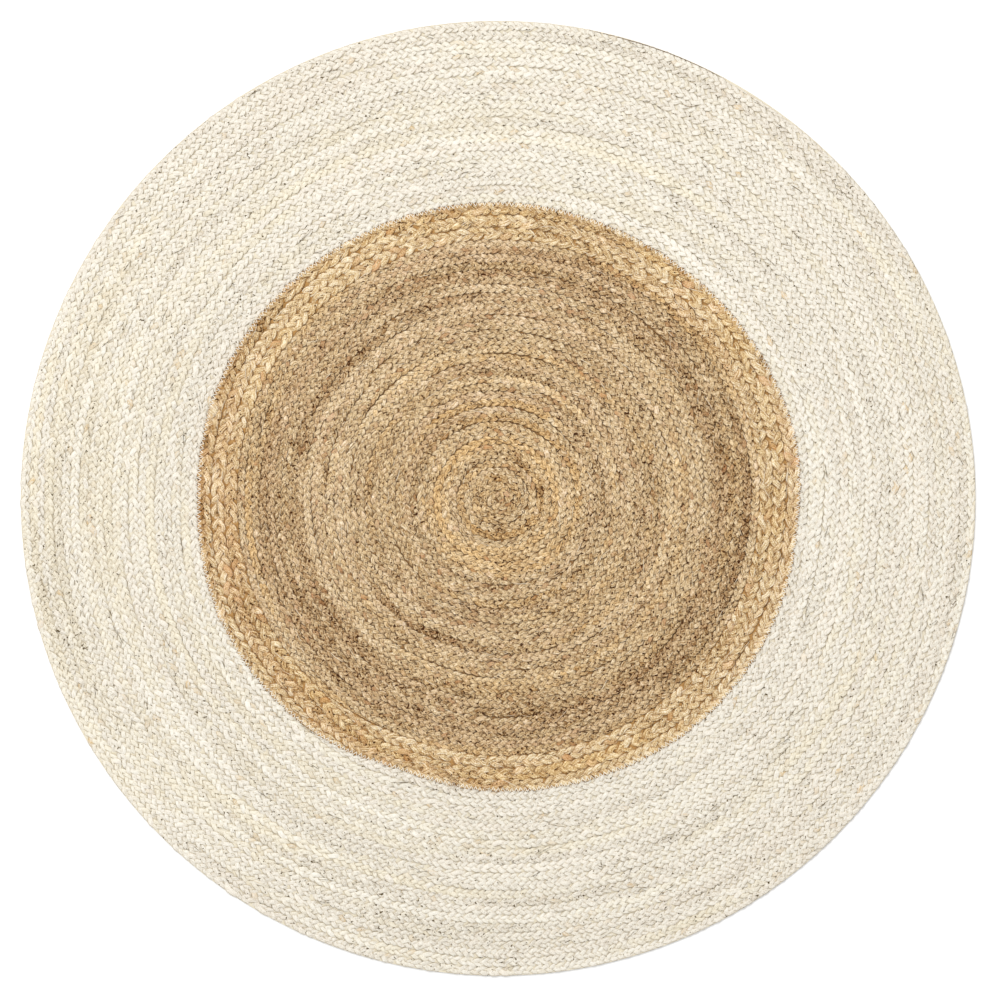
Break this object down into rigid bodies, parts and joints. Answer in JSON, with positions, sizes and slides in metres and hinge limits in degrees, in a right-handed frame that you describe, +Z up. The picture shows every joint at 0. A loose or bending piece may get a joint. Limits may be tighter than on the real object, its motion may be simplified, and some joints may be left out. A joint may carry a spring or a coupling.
{
  "type": "round jute rug",
  "caption": "Flat round rug of spirally sewn jute braid: a natural brown middle, a golden border of broader braid and a wide bleached outer ring.",
  "frame": {"origin": "middle of the flat underside, on the floor", "axes": "+Z up, out of the face that is walked on; the rug is round, and +X and +Y are the right and the top of the picture"},
  "size_m": [1.83, 1.83, 0.011],
  "materials": {
    "natural_jute": "matt undyed jute yarn in a fine flat braid, mottled tan and brown with dark flecks",
    "golden_jute": "slightly glossy golden jute yarn in a broad flat braid with cream and red-brown strands",
    "bleached_jute": "matt bleached jute yarn in a fine flat braid, cream-white with a few tan fibres"
  },
  "bodies": {
    "root": {"natural_centre_coil": "natural_jute", "golden_border_coil": "golden_jute", "bleached_outer_coil": "bleached_jute"}
  },
  "joints": []
}
